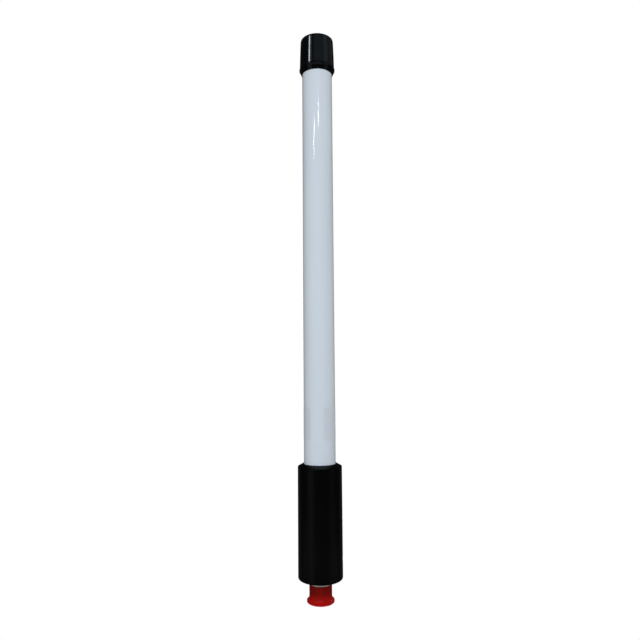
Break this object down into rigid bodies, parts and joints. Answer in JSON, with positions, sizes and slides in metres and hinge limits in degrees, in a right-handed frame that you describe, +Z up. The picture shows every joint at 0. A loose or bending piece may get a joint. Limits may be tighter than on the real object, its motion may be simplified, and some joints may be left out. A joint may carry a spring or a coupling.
{
  "type": "omnidirectional antenna",
  "caption": "White glass-fibre omnidirectional antenna with a black slip-on top cap, a black mounting sleeve, and a red pull-off dust cap over its coaxial jack",
  "frame": {"origin": "On the antenna's axis at half the mounting sleeve's height, where a mast clamp grips it", "axes": "+Z up the antenna towards its tip, -Y the front with the label's gap, +X to the right seen from the front"},
  "size_m": [0.0348, 0.0348, 0.4554],
  "materials": {
    "black_vinyl": "gloss",
    "white_glass_fibre": "gloss",
    "label_film": "satin",
    "black_anodised": "satin",
    "black_rubber": "matte",
    "black_steel": "satin",
    "nickel_plate": "polished",
    "red_silicone": "matte",
    "white_ptfe": "satin",
    "gold_plate": "polished",
    "zinc_steel": "satin",
    "red_polythene": "satin",
    "copper": "satin",
    "silvered_wire": "satin",
    "brass": "satin",
    "foam_polythene": "matte",
    "black_shrink": "satin"
  },
  "bodies": {
    "antenna": {"top_cap": "black_vinyl", "radome_tube": "white_glass_fibre", "info_label": "label_film", "mounting_sleeve": "black_anodised", "tube_seal_ring": "black_rubber", "grub_screws": "black_steel", "connector_carrier": "black_anodised", "carrier_seal_ring": "black_rubber", "jack_body": "nickel_plate", "jack_gasket": "red_silicone", "jack_insulator": "white_ptfe", "centre_contact": "gold_plate", "lock_washer": "zinc_steel", "hex_nut": "nickel_plate", "coax_shield": "copper", "coax_dielectric": "white_ptfe", "coax_core": "silvered_wire", "solder_ferrule": "brass", "choke_tube": "brass", "choke_end_ring": "brass", "choke_support_ring": "white_ptfe", "choke_centring_disc": "foam_polythene", "feed_ferrule": "brass", "feed_heat_shrink": "black_shrink", "radiator_wire": "copper", "centring_disc_1": "foam_polythene", "centring_disc_2": "foam_polythene", "centring_disc_3": "foam_polythene", "centring_disc_4": "foam_polythene", "tip_bumper": "black_rubber"},
    "cap": {"dust_cap": "red_polythene"}
  },
  "joints": [
    {"name": "dust_cap_pull", "type": "slide", "parent": "antenna", "child": "cap", "axis": [0, 0, -1], "range_m": [0, 0.03]}
  ]
}
